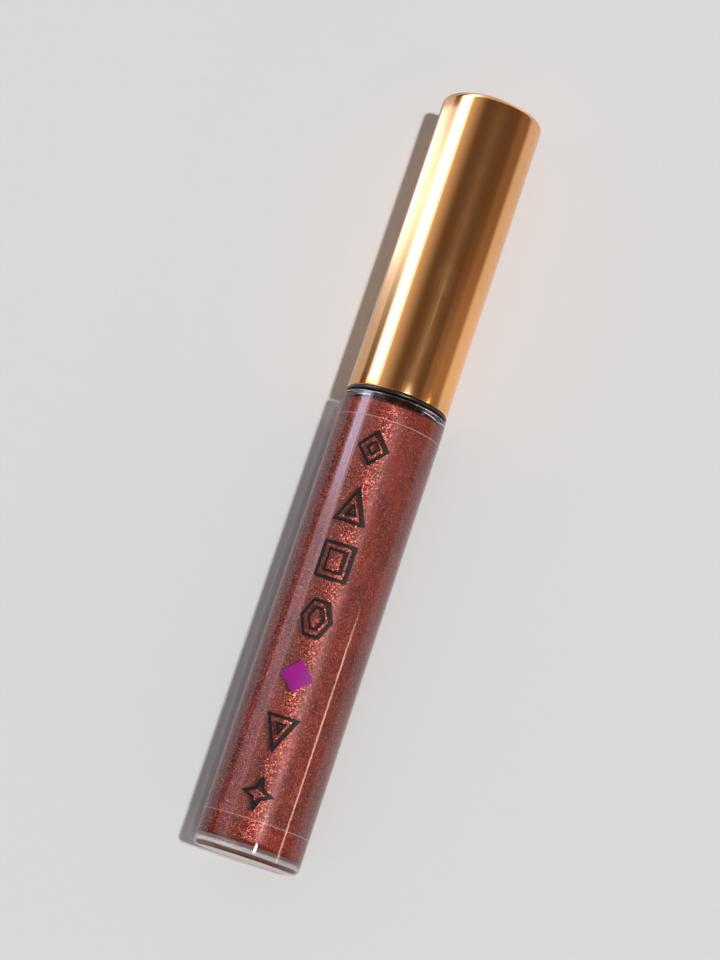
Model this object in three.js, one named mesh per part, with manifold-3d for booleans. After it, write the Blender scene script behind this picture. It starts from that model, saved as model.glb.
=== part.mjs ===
// Lip gloss tube: a clear thick-walled bottle with a screw cap that carries a flocked wand.
// Millimetres, +Z up. The origin is the centre of the base, where the bottle stands.
// Every round piece is turned about the Z axis, and all share one set of facets, so that
// nested pieces keep the same gap all round.

import * as THREE from 'three';
import { mergeVertices } from 'three/addons/utils/BufferGeometryUtils.js';
import Module from 'manifold-3d';

const wasm = await Module();
wasm.setup();

// ---- Bottle -------------------------------------------------------------------------
const BOTTLE_DIAMETER = 16.0;
const SHOULDER_HEIGHT = 70.4; // base to the flat shoulder
const BOTTLE_WALL = 1.3;
const BASE_THICKNESS = 1.9; // clear floor under the gloss
const HEEL_FILLET = 0.75;
const SHOULDER_FILLET = 0.5;
const STANDING_RING_WIDTH = 1.1; // flat ring that the bottle stands on
const BASE_HOLLOW = 0.08; // depth of the dished underside
const CAVITY_FLOOR_FILLET = 0.7;
const SHOULDER_THICKNESS = 0.7; // measured at the neck bore
const INNER_SHOULDER_RISE = 0.5; // height of the cone inside the shoulder

// ---- Neck and thread ----------------------------------------------------------------
const NECK_HEIGHT = 13.0; // shoulder to rim
const NECK_BORE_DIAMETER = 8.6;
const NECK_WALL = 1.2;
const NECK_RIM_CHAMFER = 0.25;
const THREAD_LEAD = 3.0;
const THREAD_TURNS = 1.5;
const THREAD_DEPTH = 0.6; // bottle thread, from the neck to its crest
const THREAD_START = 4.2; // shoulder to the thread's lower end
const THREAD_CREST_GAP = 0.15; // radial gap between the bottle's crest and the cap's crest
const CAP_THREAD_DEPTH = 0.35;

// ---- Clearances ---------------------------------------------------------------------
const SEAT_GAP = 0.05; // between faces that rest on each other
const PRESS_GAP = 0.05; // radial, between pieces that are pressed or glued together
const RING_GAP = 0.15; // between the shoulder and the cap's bottom ring
const WIPING_GAP = 0.15; // radial, between the wiper's lip and the thickest part of the wand

// ---- Cap ----------------------------------------------------------------------------
const SHELL_HEIGHT = 48.0; // visible metal shell
const SHELL_INSET = 0.15; // the shell's radius is this much less than the bottle's
const SHELL_WALL = 0.5;
const SHELL_TOP_THICKNESS = 0.7;
const SHELL_TOP_FILLET = 1.0;
const SHELL_RIM_FILLET = 0.2;
const RING_THICKNESS = 0.45; // black ring under the shell
const GRIP_RIB_HEIGHT = 0.2;
const GRIP_RIB_WIDTH = 0.8;
const GRIP_RIB_COUNT = 12;
const SKIRT_WALL = 0.5;
const CEILING_THICKNESS = 1.2;
const SOCKET_HEIGHT = 8.0; // above the ceiling
const SOCKET_WALL = 1.3;
const SOCKET_ROOF = 1.0;
const GUSSET_COUNT = 4;
const GUSSET_THICKNESS = 0.8;
const GUSSET_HEIGHT = 4.0;

// ---- Washer and wiper ---------------------------------------------------------------
const WASHER_THICKNESS = 0.8;
const WASHER_EDGE_GAP = 0.25; // radial, to the cap's thread crest
const WASHER_HOLE_GAP = 0.2; // radial, to the stem's collar
const WIPER_FLANGE_THICKNESS = 0.6;
const WIPER_FLANGE_INSET = 0.1; // the flange's radius is this much less than the neck's
const WIPER_WALL = 0.6;
const WIPER_SLEEVE_LENGTH = 7.0;
const WIPER_CONE_LENGTH = 3.0;
const WIPER_LIP_THICKNESS = 0.35;

// ---- Wand ---------------------------------------------------------------------------
const STEM_DIAMETER = 3.8;
const STEM_COLLAR_STEP = 0.5; // radial
const STEM_COLLAR_THICKNESS = 0.6;
const STEM_END_FILLET = 0.3;
const STEM_BORE_DIAMETER = 2.2; // takes the applicator's plug
const STEM_BORE_DEPTH = 7.0;
const TIP_END_HEIGHT = 8.0; // base to the end of the applicator
const TIP_LENGTH = 14.5;
const TIP_DIAMETER = 4.2; // over the flock, at its thickest
const TIP_ROOT_DIAMETER = 3.4; // over the flock, next to the stem
const FLOCK_THICKNESS = 0.3;
const SLANT_ANGLE = 16; // degrees between the slanted face and the wand
const SLANT_END_WIDTH = 1.5; // what the slant leaves at the tip's end
const PLUG_LENGTH = 6.0;

// ---- Gloss and label ----------------------------------------------------------------
const GLOSS_HEADSPACE = 0.1; // below the inside of the shoulder
const WELL_GAP = 0.35; // between the wand and the gloss around it
const FILM_THICKNESS = 0.08;
const FILM_BOTTOM = 5.3;
const FILM_HEIGHT = 61.2;
const FILM_SEAM_WIDTH = 1.5; // open strip at the back, where the film's ends meet

// ---- Facets -------------------------------------------------------------------------
const FACETS = 36;
const FILLET_STEPS = 4;
const THREAD_STEPS_PER_TURN = 24;
const THREAD_SIDES = 6;
const RUN_OUT_ANGLE = Math.PI / 5; // over which a thread sinks into its wall

// ---- Sizes that follow from the ones above ------------------------------------------
const bottleR = BOTTLE_DIAMETER / 2;
const cavityR = bottleR - BOTTLE_WALL;
const boreR = NECK_BORE_DIAMETER / 2;
const neckR = boreR + NECK_WALL;
const rimZ = SHOULDER_HEIGHT + NECK_HEIGHT;
const coneTopZ = SHOULDER_HEIGHT - SHOULDER_THICKNESS;
const coneBottomZ = coneTopZ - INNER_SHOULDER_RISE;
const crestR = neckR + THREAD_DEPTH;
const capCrestR = crestR + THREAD_CREST_GAP;
const skirtInnerR = capCrestR + CAP_THREAD_DEPTH;
const skirtR = skirtInnerR + SKIRT_WALL;
const closureR = skirtR + GRIP_RIB_HEIGHT; // over the ribs that hold the shell
const shellR = Math.max(bottleR - SHELL_INSET, closureR + PRESS_GAP + SHELL_WALL);
const shellBoreR = shellR - SHELL_WALL;
const ringBottomZ = SHOULDER_HEIGHT + RING_GAP;
const ringTopZ = ringBottomZ + RING_THICKNESS;
const shellBottomZ = ringTopZ + SEAT_GAP;
const shellTopZ = shellBottomZ + SHELL_HEIGHT;
const flangeBottomZ = rimZ + SEAT_GAP;
const flangeTopZ = flangeBottomZ + WIPER_FLANGE_THICKNESS;
const washerBottomZ = flangeTopZ + SEAT_GAP;
const washerTopZ = washerBottomZ + WASHER_THICKNESS;
const ceilingZ = washerTopZ + SEAT_GAP;
const ceilingTopZ = ceilingZ + CEILING_THICKNESS;
const socketTopZ = ceilingTopZ + SOCKET_HEIGHT;
const washerR = capCrestR - WASHER_EDGE_GAP;
const stemR = STEM_DIAMETER / 2;
const collarR = stemR + STEM_COLLAR_STEP;
const washerHoleR = collarR + WASHER_HOLE_GAP;
const socketBoreR = stemR + PRESS_GAP;
const socketR = socketBoreR + SOCKET_WALL;
const stemTopZ = socketTopZ - SOCKET_ROOF - SEAT_GAP;
const tipTopZ = TIP_END_HEIGHT + TIP_LENGTH;
const stemBottomZ = tipTopZ + SEAT_GAP;
const tipR = TIP_DIAMETER / 2;
const wandMaxR = Math.max(tipR, stemR);
const lipR = wandMaxR + WIPING_GAP;
const wellR = wandMaxR + WELL_GAP;
const glossR = cavityR - PRESS_GAP;
const glossFloorZ = BASE_THICKNESS + SEAT_GAP;
const glossTopZ = coneTopZ - GLOSS_HEADSPACE;
const wellFloorZ = TIP_END_HEIGHT - WELL_GAP;
const filmInnerR = bottleR + PRESS_GAP / 2;
const filmOuterR = filmInnerR + FILM_THICKNESS;

// ---- Helpers ------------------------------------------------------------------------

// Points of a quarter round in the (radius, height) plane, from one angle to another.
function arc(centreR, centreZ, radius, fromDegrees, toDegrees, steps = FILLET_STEPS) {
  const points = [];
  for (let i = 0; i <= steps; i += 1) {
    const angle = THREE.MathUtils.degToRad(fromDegrees + ((toDegrees - fromDegrees) * i) / steps);
    points.push([centreR + radius * Math.cos(angle), centreZ + radius * Math.sin(angle)]);
  }
  return points;
}

// Leaves only positions, with shared vertices merged and empty triangles dropped.
function weld(geometry) {
  const bare = geometry.clone();
  bare.deleteAttribute('normal');
  bare.deleteAttribute('uv');
  const merged = mergeVertices(bare, 1e-5);
  const source = merged.index.array;
  const kept = [];
  for (let i = 0; i < source.length; i += 3) {
    const [a, b, c] = [source[i], source[i + 1], source[i + 2]];
    if (a !== b && b !== c && c !== a) kept.push(a, b, c);
  }
  merged.setIndex(kept);
  return merged;
}

// A solid of revolution about Z, from an outline of [radius, height] pairs.
function turned(outline) {
  const points = outline.map(([radius, height]) => new THREE.Vector2(radius, height));
  const geometry = new THREE.LatheGeometry(points, FACETS);
  geometry.rotateX(Math.PI / 2);
  return weld(geometry);
}

// The same, for a ring whose outline never meets the axis: the outline closes on itself.
function turnedRing(outline) {
  return turned([...outline, outline[0]]);
}

function toSolid(geometry) {
  return new wasm.Manifold(new wasm.Mesh({
    numProp: 3,
    vertProperties: new Float32Array(geometry.attributes.position.array),
    triVerts: new Uint32Array(geometry.index.array),
  }));
}

function toGeometry(solid) {
  const mesh = solid.getMesh();
  const geometry = new THREE.BufferGeometry();
  geometry.setAttribute('position', new THREE.BufferAttribute(mesh.vertProperties, 3));
  geometry.setIndex(new THREE.BufferAttribute(mesh.triVerts, 1));
  return geometry;
}

function join(base, additions) {
  let solid = toSolid(base);
  for (const addition of additions) solid = solid.add(toSolid(addition));
  return toGeometry(solid);
}

function cutAway(base, cutter) {
  return toGeometry(toSolid(base).subtract(toSolid(cutter)));
}

// A box standing on a given height, centred on a radius and turned about Z.
function spoke(radius, width, depth, bottomZ, topZ, angle) {
  const geometry = new THREE.BoxGeometry(depth, width, topZ - bottomZ);
  geometry.translate(radius, 0, (bottomZ + topZ) / 2);
  geometry.rotateZ(angle);
  return weld(geometry);
}

// The centre line of a thread ridge. Both ends sink into the wall at buriedR.
class ThreadPath extends THREE.Curve {
  constructor(ridgeR, buriedR, bottomZ) {
    super();
    this.ridgeR = ridgeR;
    this.buriedR = buriedR;
    this.bottomZ = bottomZ;
  }

  getPoint(t) {
    const whole = THREAD_TURNS * 2 * Math.PI;
    const angle = t * whole;
    const fromEnd = Math.min(angle, whole - angle, RUN_OUT_ANGLE) / RUN_OUT_ANGLE;
    const radius = this.buriedR + (this.ridgeR - this.buriedR) * THREE.MathUtils.smoothstep(fromEnd, 0, 1);
    const height = this.bottomZ + (THREAD_LEAD * angle) / (2 * Math.PI);
    return new THREE.Vector3(radius * Math.cos(angle), radius * Math.sin(angle), height);
  }
}

function threadRidge(ridgeR, buriedR, bottomZ, sectionR) {
  const section = new THREE.Shape();
  for (let i = 0; i < THREAD_SIDES; i += 1) {
    const angle = (i / THREAD_SIDES) * 2 * Math.PI;
    const corner = [sectionR * Math.cos(angle), sectionR * Math.sin(angle)];
    if (i === 0) section.moveTo(...corner);
    else section.lineTo(...corner);
  }
  return weld(new THREE.ExtrudeGeometry(section, {
    steps: Math.round(THREAD_TURNS * THREAD_STEPS_PER_TURN),
    extrudePath: new ThreadPath(ridgeR, buriedR, bottomZ),
  }));
}

// ---- Pieces -------------------------------------------------------------------------

function bottle() {
  const hollowR = bottleR - HEEL_FILLET - STANDING_RING_WIDTH;
  const hollowSteps = 3;
  const outline = [];
  for (let i = 0; i <= hollowSteps; i += 1) {
    const share = i / hollowSteps;
    outline.push([hollowR * share, BASE_HOLLOW * (1 - share * share)]);
  }
  outline.push(
    ...arc(bottleR - HEEL_FILLET, HEEL_FILLET, HEEL_FILLET, -90, 0),
    ...arc(bottleR - SHOULDER_FILLET, SHOULDER_HEIGHT - SHOULDER_FILLET, SHOULDER_FILLET, 0, 90),
    [neckR, SHOULDER_HEIGHT],
    [neckR, rimZ - NECK_RIM_CHAMFER],
    [neckR - NECK_RIM_CHAMFER, rimZ],
    [boreR, rimZ],
    [boreR, coneTopZ],
    [cavityR, coneBottomZ],
    ...arc(cavityR - CAVITY_FLOOR_FILLET, BASE_THICKNESS + CAVITY_FLOOR_FILLET, CAVITY_FLOOR_FILLET, 0, -90),
    [0, BASE_THICKNESS],
  );
  const sectionR = Math.min(THREAD_DEPTH * 0.75, NECK_WALL * 0.4);
  const ridge = threadRidge(crestR - sectionR, boreR + NECK_WALL / 2, SHOULDER_HEIGHT + THREAD_START, sectionR);
  return join(turned(outline), [ridge]);
}

function glossFill() {
  const fillet = CAVITY_FLOOR_FILLET;
  return turned([
    [0, glossFloorZ],
    ...arc(glossR - fillet, glossFloorZ + fillet, fillet, -90, 0),
    [glossR, coneBottomZ - GLOSS_HEADSPACE],
    [boreR, glossTopZ],
    [wellR, glossTopZ],
    [wellR, wellFloorZ],
    [0, wellFloorZ],
  ]);
}

function wiper() {
  const sleeveR = boreR - PRESS_GAP;
  const innerR = sleeveR - WIPER_WALL;
  const sleeveBottomZ = rimZ - WIPER_SLEEVE_LENGTH;
  const lipZ = sleeveBottomZ - WIPER_CONE_LENGTH;
  return turnedRing([
    [sleeveR, flangeBottomZ],
    [neckR - WIPER_FLANGE_INSET, flangeBottomZ],
    [neckR - WIPER_FLANGE_INSET, flangeTopZ],
    [innerR, flangeTopZ],
    [innerR, sleeveBottomZ],
    [lipR, lipZ + WIPER_LIP_THICKNESS],
    [lipR, lipZ],
    [lipR + WIPER_LIP_THICKNESS, lipZ],
    [sleeveR, sleeveBottomZ],
  ]);
}

function sealingWasher() {
  return turnedRing([
    [washerHoleR, washerBottomZ],
    [washerR, washerBottomZ],
    [washerR, washerTopZ],
    [washerHoleR, washerTopZ],
  ]);
}

function innerCap() {
  const body = turned([
    [0, socketTopZ - SOCKET_ROOF],
    [socketBoreR, socketTopZ - SOCKET_ROOF],
    [socketBoreR, ceilingZ],
    [skirtInnerR, ceilingZ],
    [skirtInnerR, ringBottomZ],
    [shellR, ringBottomZ],
    [shellR, ringTopZ],
    [skirtR, ringTopZ],
    [skirtR, ceilingTopZ],
    [socketR, ceilingTopZ],
    [socketR, socketTopZ],
    [0, socketTopZ],
  ]);
  const sectionR = Math.min(CAP_THREAD_DEPTH * 0.65, SKIRT_WALL * 0.44);
  const additions = [
    threadRidge(capCrestR + sectionR, skirtInnerR + SKIRT_WALL / 2, SHOULDER_HEIGHT + THREAD_START, sectionR),
  ];
  const ribInnerR = skirtR - SKIRT_WALL / 2;
  const ribOuterR = shellBoreR - PRESS_GAP;
  const ribBottomZ = ringTopZ - RING_THICKNESS / 2;
  const ribTopZ = ceilingTopZ - CEILING_THICKNESS / 2;
  for (let i = 0; i < GRIP_RIB_COUNT; i += 1) {
    const angle = (i / GRIP_RIB_COUNT) * 2 * Math.PI;
    const middleR = (ribInnerR + ribOuterR) / 2;
    additions.push(spoke(middleR, GRIP_RIB_WIDTH, ribOuterR - ribInnerR, ribBottomZ, ribTopZ, angle));
  }
  const gussetInnerR = socketR - SOCKET_WALL / 2;
  const gussetOuterR = skirtR - SKIRT_WALL;
  const gussetBottomZ = ceilingTopZ - CEILING_THICKNESS / 2;
  for (let i = 0; i < GUSSET_COUNT; i += 1) {
    const angle = (i / GUSSET_COUNT) * 2 * Math.PI;
    const middleR = (gussetInnerR + gussetOuterR) / 2;
    additions.push(spoke(middleR, GUSSET_THICKNESS, gussetOuterR - gussetInnerR, gussetBottomZ,
      ceilingTopZ + GUSSET_HEIGHT, angle));
  }
  return join(body, additions);
}

function overcap() {
  const innerFillet = Math.max(SHELL_TOP_FILLET - SHELL_WALL, SHELL_WALL / 2);
  const roofZ = shellTopZ - SHELL_TOP_THICKNESS;
  return turned([
    [0, roofZ],
    ...arc(shellBoreR - innerFillet, roofZ - innerFillet, innerFillet, 90, 0),
    [shellBoreR, shellBottomZ],
    [shellR - SHELL_RIM_FILLET, shellBottomZ],
    [shellR, shellBottomZ + SHELL_RIM_FILLET],
    ...arc(shellR - SHELL_TOP_FILLET, shellTopZ - SHELL_TOP_FILLET, SHELL_TOP_FILLET, 0, 90),
    [0, shellTopZ],
  ]);
}

function stem() {
  const plugBoreR = STEM_BORE_DIAMETER / 2;
  const collarTopZ = ceilingZ - SEAT_GAP;
  const collarBottomZ = collarTopZ - STEM_COLLAR_THICKNESS;
  return turned([
    [0, stemBottomZ + STEM_BORE_DEPTH],
    [plugBoreR, stemBottomZ + STEM_BORE_DEPTH],
    [plugBoreR, stemBottomZ],
    [stemR - STEM_END_FILLET, stemBottomZ],
    [stemR, stemBottomZ + STEM_END_FILLET],
    [stemR, collarBottomZ],
    [collarR, collarBottomZ],
    [collarR, collarTopZ],
    [stemR, collarTopZ],
    [stemR, stemTopZ],
    [0, stemTopZ],
  ]);
}

// The tip's outline from its rounded end up to its root, shrunk all round by inset.
function tipOutline(inset, topZ) {
  const endR = tipR - inset;
  const endZ = TIP_END_HEIGHT + inset;
  const rootR = TIP_ROOT_DIAMETER / 2 - inset;
  const shoulderZ = topZ - (TIP_DIAMETER - TIP_ROOT_DIAMETER) * 2;
  return [
    ...arc(0, endZ + endR, endR, -90, 0),
    [endR, shoulderZ],
    [rootR, topZ],
  ];
}

// The block of space in front of the slanted face, moved in by inset.
function slantBlock(inset) {
  const size = TIP_LENGTH * 2;
  const slant = THREE.MathUtils.degToRad(SLANT_ANGLE);
  const geometry = new THREE.BoxGeometry(size, size, size);
  geometry.translate(0, -size / 2 - inset, 0);
  geometry.rotateX(slant);
  geometry.translate(0, tipR - SLANT_END_WIDTH, TIP_END_HEIGHT);
  return weld(geometry);
}

function applicatorCore() {
  const inset = FLOCK_THICKNESS + PRESS_GAP;
  const plugR = STEM_BORE_DIAMETER / 2 - PRESS_GAP;
  const body = turned([
    ...tipOutline(inset, tipTopZ),
    [plugR, tipTopZ],
    [plugR, tipTopZ + PLUG_LENGTH],
    [0, tipTopZ + PLUG_LENGTH],
  ]);
  return cutAway(body, slantBlock(-inset));
}

function applicatorFlock() {
  const topZ = tipTopZ - SEAT_GAP;
  const outside = cutAway(turned([...tipOutline(0, topZ), [0, topZ]]), slantBlock(0));
  const hollowTopZ = tipTopZ + FLOCK_THICKNESS;
  const hollow = turned([...tipOutline(FLOCK_THICKNESS, tipTopZ), [0, hollowTopZ]]);
  return cutAway(outside, cutAway(hollow, slantBlock(-FLOCK_THICKNESS)));
}

function labelFilm() {
  const halfGap = FILM_SEAM_WIDTH / 2 / filmInnerR;
  const step = (2 * Math.PI) / FACETS;
  const seamAngle = Math.PI / 2;
  const angles = [seamAngle + halfGap];
  for (let i = 1; i < FACETS; i += 1) {
    const angle = seamAngle + i * step;
    if (angle > seamAngle + halfGap && angle < seamAngle + 2 * Math.PI - halfGap) angles.push(angle);
  }
  angles.push(seamAngle + 2 * Math.PI - halfGap);
  const outer = angles.map((angle) => [filmOuterR * Math.cos(angle), filmOuterR * Math.sin(angle)]);
  const inner = angles.map((angle) => [filmInnerR * Math.cos(angle), filmInnerR * Math.sin(angle)]);
  const corners = [...outer, ...inner.reverse()];
  const shape = new THREE.Shape(corners.map(([x, y]) => new THREE.Vector2(x, y)));
  const geometry = new THREE.ExtrudeGeometry(shape, { depth: FILM_HEIGHT, bevelEnabled: false });
  geometry.translate(0, 0, FILM_BOTTOM);
  return weld(geometry);
}

// ---- Assembly -----------------------------------------------------------------------

const clearPlastic = { color: 0xf4f6f6, roughness: 0.06, metalness: 0, transparent: true, opacity: 0.35 };
const clearFilm = { color: 0xf7f7f8, roughness: 0.12, metalness: 0, transparent: true, opacity: 0.25 };
const goldShell = { color: 0xd9a05c, roughness: 0.18, metalness: 1 };
const blackPlastic = { color: 0x0c0b0c, roughness: 0.35, metalness: 0 };
const glossLiquid = { color: 0x9c4b3c, roughness: 0.35, metalness: 0.4 };
const softPlastic = { color: 0xe6e4de, roughness: 0.5, metalness: 0 };
const foam = { color: 0xf2f0ea, roughness: 0.8, metalness: 0 };
const stemPlastic = { color: 0x141314, roughness: 0.3, metalness: 0 };
const tipPlastic = { color: 0xd8d2cc, roughness: 0.5, metalness: 0 };
const flock = { color: 0xc9847a, roughness: 0.95, metalness: 0 };

const pieces = [
  ['bottle', bottle, clearPlastic],
  ['gloss_fill', glossFill, glossLiquid],
  ['label_film', labelFilm, clearFilm],
  ['wiper', wiper, softPlastic],
  ['sealing_washer', sealingWasher, foam],
  ['inner_cap', innerCap, blackPlastic],
  ['overcap', overcap, goldShell],
  ['stem', stem, stemPlastic],
  ['applicator_core', applicatorCore, tipPlastic],
  ['applicator_flock', applicatorFlock, flock],
];

const tube = new THREE.Group();
for (const [name, make, finish] of pieces) {
  const mesh = new THREE.Mesh(make(), new THREE.MeshStandardMaterial(finish));
  mesh.name = name;
  tube.add(mesh);
}

export default tube;
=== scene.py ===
# Lip gloss tube: the looks. Lengths are named in millimetres and made metres by MM.
# The tube stands on its base with its axis along +Z, and its printed front faces -Y.
import math

import bmesh
import bpy
from mathutils import Matrix, Vector


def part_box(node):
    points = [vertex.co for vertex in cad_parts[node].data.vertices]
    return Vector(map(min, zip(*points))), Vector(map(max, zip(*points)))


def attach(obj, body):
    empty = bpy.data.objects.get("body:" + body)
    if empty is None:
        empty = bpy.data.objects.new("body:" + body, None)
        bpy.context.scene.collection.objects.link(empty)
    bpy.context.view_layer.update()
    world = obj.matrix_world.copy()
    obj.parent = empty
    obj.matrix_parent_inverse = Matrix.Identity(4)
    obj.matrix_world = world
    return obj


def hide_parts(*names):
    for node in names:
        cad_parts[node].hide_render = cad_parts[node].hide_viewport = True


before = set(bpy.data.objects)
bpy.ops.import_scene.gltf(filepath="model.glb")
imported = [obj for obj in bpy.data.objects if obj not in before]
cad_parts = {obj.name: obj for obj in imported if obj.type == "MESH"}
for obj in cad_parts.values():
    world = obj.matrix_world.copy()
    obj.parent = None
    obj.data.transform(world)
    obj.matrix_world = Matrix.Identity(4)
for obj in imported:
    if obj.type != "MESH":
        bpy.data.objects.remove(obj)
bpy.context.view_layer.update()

MM = 0.001
SEGMENTS = 128  # round the tube
CREASE = math.radians(28)

# ---- Sizes from the frame ----


def extent(name):
    """A CAD node's radius and the heights of its two ends, in millimetres."""
    low, high = (Vector(point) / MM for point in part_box(name))
    return high.x, low.z, high.z


BOTTLE_R, _, RIM_Z = extent("bottle")
SHELL_R, SHELL_BOTTOM, SHELL_TOP = extent("overcap")
_, RING_BOTTOM, SOCKET_TOP = extent("inner_cap")
_, FILM_BOTTOM, FILM_TOP = extent("label_film")
FILM_R = (-Vector(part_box("label_film")[0]) / MM).y  # from its front, as its seam is at the back
GLOSS_R, GLOSS_FLOOR, GLOSS_TOP = extent("gloss_fill")
CAVITY_R = GLOSS_R + 0.05
FLANGE_R, LIP_Z, FLANGE_TOP = extent("wiper")
WASHER_R, WASHER_BOTTOM, WASHER_TOP = extent("sealing_washer")
COLLAR_R, STEM_BOTTOM, STEM_TOP = extent("stem")
TIP_R, TIP_BOTTOM, TIP_TOP = extent("applicator_flock")
_, _, PLUG_TOP = extent("applicator_core")

# ---- Sizes of the finer shapes ----

RING_GAP = 0.15  # shoulder to the black ring
SHOULDER_Z = RING_BOTTOM - RING_GAP
RING_TOP = SHELL_BOTTOM - 0.05
BASE_THICKNESS = 1.9
HEEL_FILLET = 0.75
SHOULDER_FILLET = 0.5
STANDING_RING_WIDTH = 1.1  # the flat ring round the dished underside
BASE_HOLLOW = 0.08
CAVITY_FILLET = 0.7
SHOULDER_THICKNESS = 0.7
CONE_TOP = SHOULDER_Z - SHOULDER_THICKNESS  # the cavity's roof slopes from the neck's bore ...
CONE_BOTTOM = CONE_TOP - 0.5
CONE_FILLET = 0.5
CAVITY_WALL_TOP = CONE_BOTTOM - 0.3  # ... to the straight wall
NECK_R = 5.5
BORE_R = 4.3
NECK_FOOT_FILLET = 0.35
RIM_FILLET = 0.25
BORE_FILLET = 0.15
THREAD_LEAD = 3.0
THREAD_TURNS = 1.5
THREAD_START = 4.2  # shoulder to the lower end of both threads
NECK_THREAD_DEPTH = 0.6
NECK_RIDGE_R = NECK_THREAD_DEPTH * 0.75
CAP_THREAD_DEPTH = 0.35
CAP_RIDGE_R = CAP_THREAD_DEPTH * 0.65
SHELL_WALL = 0.5
SHELL_ROOF = 0.7
SHELL_TOP_FILLET = 1.0
SHELL_RIM_FILLET = 0.2
SHELL_INNER_RIM_FILLET = 0.1
SKIRT_R = 7.1
SKIRT_INNER_R = 6.6
SKIRT_FILLET = 0.2
MOUTH_CHAMFER = 0.25
CEILING_THICKNESS = 1.2
CEILING_FILLET = 0.3
SOCKET_BORE_R = 1.95
SOCKET_R = 3.25
SOCKET_ROOF = 1.0
SOCKET_FOOT_FILLET = 0.4
SOCKET_TOP_FILLET = 0.25
RING_LOWER_FILLET = 0.15
RING_UPPER_FILLET = 0.1
BLOCK_WIDTH = 0.8  # of the closure's outer ribs and of the gussets round its socket
RIB_REACH = 0.19
GUSSET_HEIGHT = 4.0
STEM_R = 1.9
STEM_FILLET = 0.3
STEM_HOLE_R = 1.1
STEM_HOLE_DEPTH = 7.0
COLLAR_THICKNESS = 0.6
COLLAR_FILLET = 0.1
WIPER_GAP = 0.03
WIPER_WALL = 0.6
WIPER_FLANGE_THICKNESS = 0.6
WIPER_LIP_R = 2.25
WIPER_LIP_LENGTH = 3.0
WIPER_BEAD_R = 0.16
WIPER_FLANGE_FILLET = 0.15
WIPER_MOUTH_FILLET = 0.3
WASHER_HOLE_GAP = 0.2
WASHER_FILLET = 0.12
GLOSS_OVERLAP = 0.02  # the liquid wets the wall, so no air shows between them
WELL_R = 2.45  # the room that the wand leaves in the liquid
WELL_FLOOR = TIP_BOTTOM - 0.35
WELL_TOP_FILLET = 0.3
WELL_FLOOR_FILLET = 0.5
FLOCK_SKIN = 0.3
FLOCK_BASE = 0.12  # how far inside the tip's outer size the fibres are planted
FIBRES_PER_M2 = 45e6
FIBRE_LENGTH = 0.26
FIBRE_R = 0.028
FIBRE_LEAN = 0.45
PLUG_R = 1.05
PLUG_FILLET = 0.2
SLANT = math.radians(16)
SLANT_END_WIDTH = 1.5
SLANT_EDGE_SOFTNESS = 0.35
FILM_GAP = 0.015
FILM_SEAM_WIDTH = 1.5
MARK_HEIGHT = 5.7
MARK_WIDTH = 5.1
MARK_STROKE = 0.46
MARK_LINE_GAP = 0.6
INNER_STROKE_SHARE = 0.8
MARK_PITCH = 8.8
MARK_TOP_MARGIN = 1.8
TOP_MARK_Z = FILM_TOP - MARK_TOP_MARGIN - MARK_HEIGHT / 2
MARK_AZIMUTH = math.radians(-5)
COLOURED_MARK_NUMBER = 4  # its place in the column, counted from 0 at the top
COLOURED_MARK_SHARE = 0.86
INK_LAYERS = (-0.02, 0.004)  # the ink's front and back, as depths below the film's face

# ---- Node helpers ----


def node(tree, kind, inputs=None, **settings):
    """Adds a node. inputs maps socket names or numbers to values, or to sockets to link."""
    made = tree.nodes.new(kind)
    for name, value in settings.items():
        setattr(made, name, value)
    for key, value in (inputs or {}).items():
        if isinstance(value, bpy.types.NodeSocket):
            tree.links.new(value, made.inputs[key])
        else:
            made.inputs[key].default_value = value
    return made


def socket_name(key):
    return key.replace("_", " ").title().replace("Ior", "IOR")


def feed(tree, target, **values):
    """Links sockets to a node's inputs."""
    for key, value in values.items():
        tree.links.new(value, target.inputs[socket_name(key)])


def value_of(tree, kind, inputs=None, **settings):
    """A new node's first output."""
    return node(tree, kind, inputs, **settings).outputs[0]


def math_node(tree, operation, *values):
    """A Math node's result. Values are numbers or sockets."""
    return value_of(tree, "ShaderNodeMath", dict(enumerate(values)), operation=operation)


def product(tree, *values):
    return math_node(tree, "MULTIPLY", *values)


def vector_math(tree, operation, *values, **scale):
    """A Vector Math node's result, with Scale by name."""
    return value_of(tree, "ShaderNodeVectorMath", {**dict(enumerate(values)), **scale}, operation=operation)


def remap(tree, value, from_low, from_high, to_low=0.0, to_high=1.0, smooth=False):
    """value moved from one range to another, and held inside it."""
    kind = "SMOOTHSTEP" if smooth else "LINEAR"
    inputs = {"Value": value, "From Min": from_low, "From Max": from_high, "To Min": to_low,
              "To Max": to_high}
    return node(tree, "ShaderNodeMapRange", inputs, interpolation_type=kind).outputs["Result"]


def mix_colours(tree, factor, first, second):
    """Two colours mixed. Each is a tuple of linear red, green and blue, or a socket."""
    made = node(tree, "ShaderNodeMix", {0: factor}, data_type="RGBA")
    for number, colour in ((6, first), (7, second)):
        if isinstance(colour, bpy.types.NodeSocket):
            tree.links.new(colour, made.inputs[number])
        else:
            made.inputs[number].default_value = (*colour, 1.0)
    return made.outputs[2]


def new_group(name, kind, inputs, outputs):
    """A node group with named sockets: (group, the values it is given, its output node)."""
    group = bpy.data.node_groups.new(name, kind)
    for title, socket_type, default in inputs:
        socket = group.interface.new_socket(title, in_out="INPUT", socket_type=socket_type)
        if default is not None:
            socket.default_value = default
    for title, socket_type in outputs:
        group.interface.new_socket(title, in_out="OUTPUT", socket_type=socket_type)
    return group, group.nodes.new("NodeGroupInput").outputs, group.nodes.new("NodeGroupOutput")


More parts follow.
